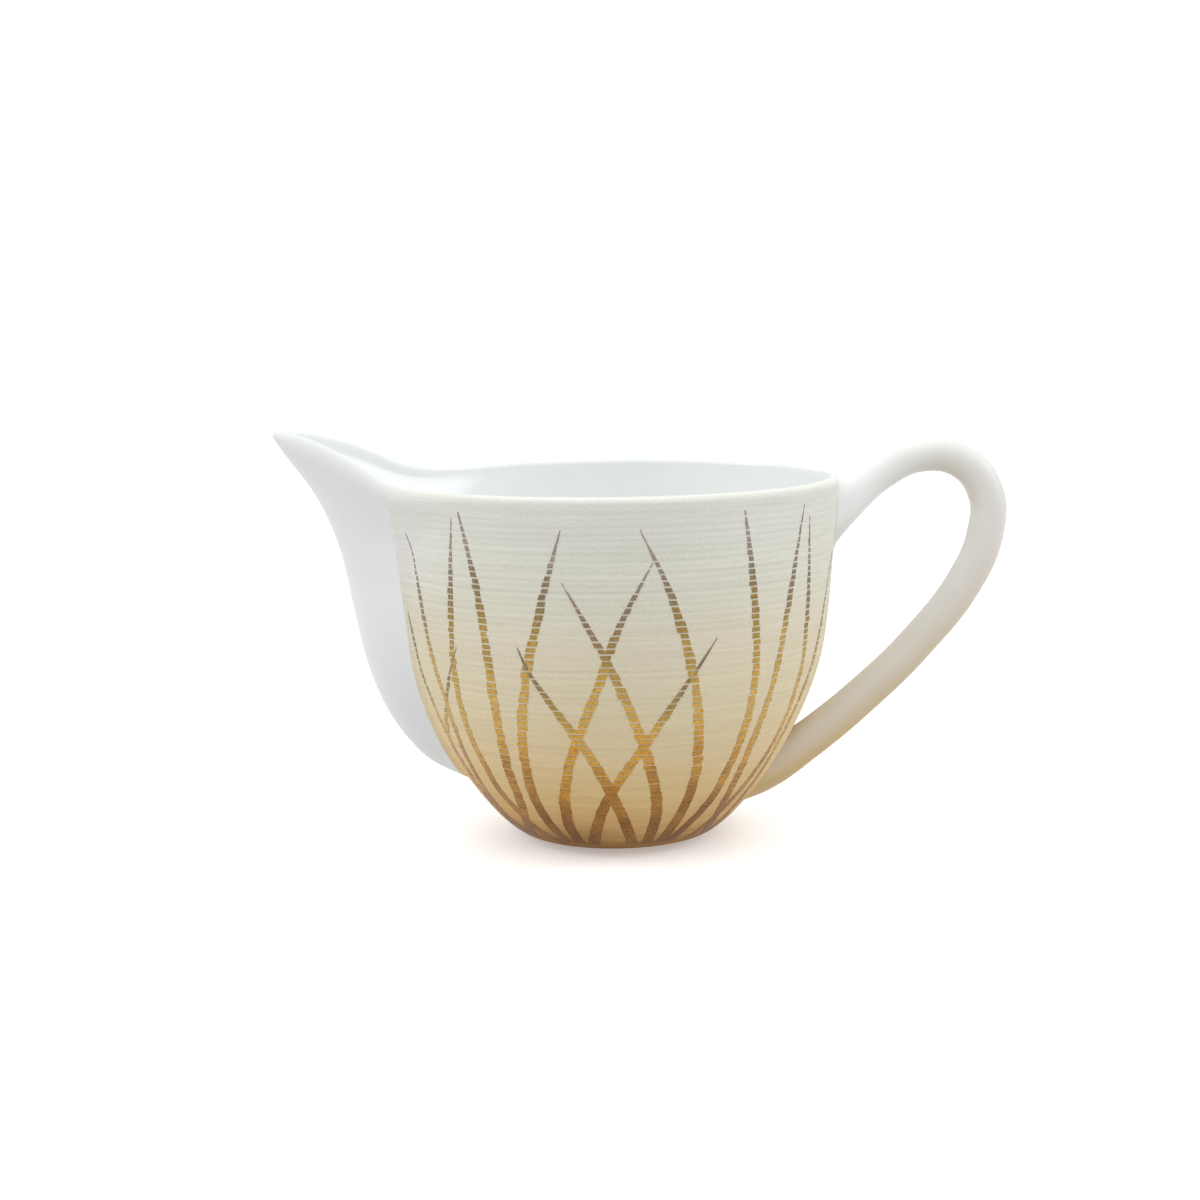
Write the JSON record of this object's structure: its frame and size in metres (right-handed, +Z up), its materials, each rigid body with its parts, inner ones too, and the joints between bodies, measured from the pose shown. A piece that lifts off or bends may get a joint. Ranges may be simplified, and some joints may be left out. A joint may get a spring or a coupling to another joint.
{
  "type": "cream jug",
  "caption": "Small porcelain cream jug: rounded, finely ribbed bowl with a pointed pouring spout and a loop handle.",
  "frame": {"origin": "middle of the jug's footprint box, on the surface it stands on; the bowl's own axis is 5.3 mm towards -X from it", "axes": "+X from the spout towards the handle, +Z up, +Y to the right hand side of a person who pours"},
  "size_m": [0.1472, 0.0898, 0.0828],
  "materials": {
    "biscuit_porcelain": "matt, finely ribbed, sprayed sand tint that deepens towards the base",
    "satin_porcelain": "smooth satin white",
    "slip": "satin white, sponged smooth",
    "bare_foot": "unglazed, ground flat",
    "clear_glaze": "glossy",
    "gold_lustre": "thin fired gold film on the crests of the ribs"
  },
  "bodies": {
    "root": {"bowl": "biscuit_porcelain", "foot_ring": "bare_foot", "spout": "satin_porcelain", "spout_slip_seam": "slip", "handle": "satin_porcelain", "handle_upper_slip_joint": "slip", "handle_lower_slip_joint": "slip", "inner_glaze": "clear_glaze"}
  },
  "joints": []
}
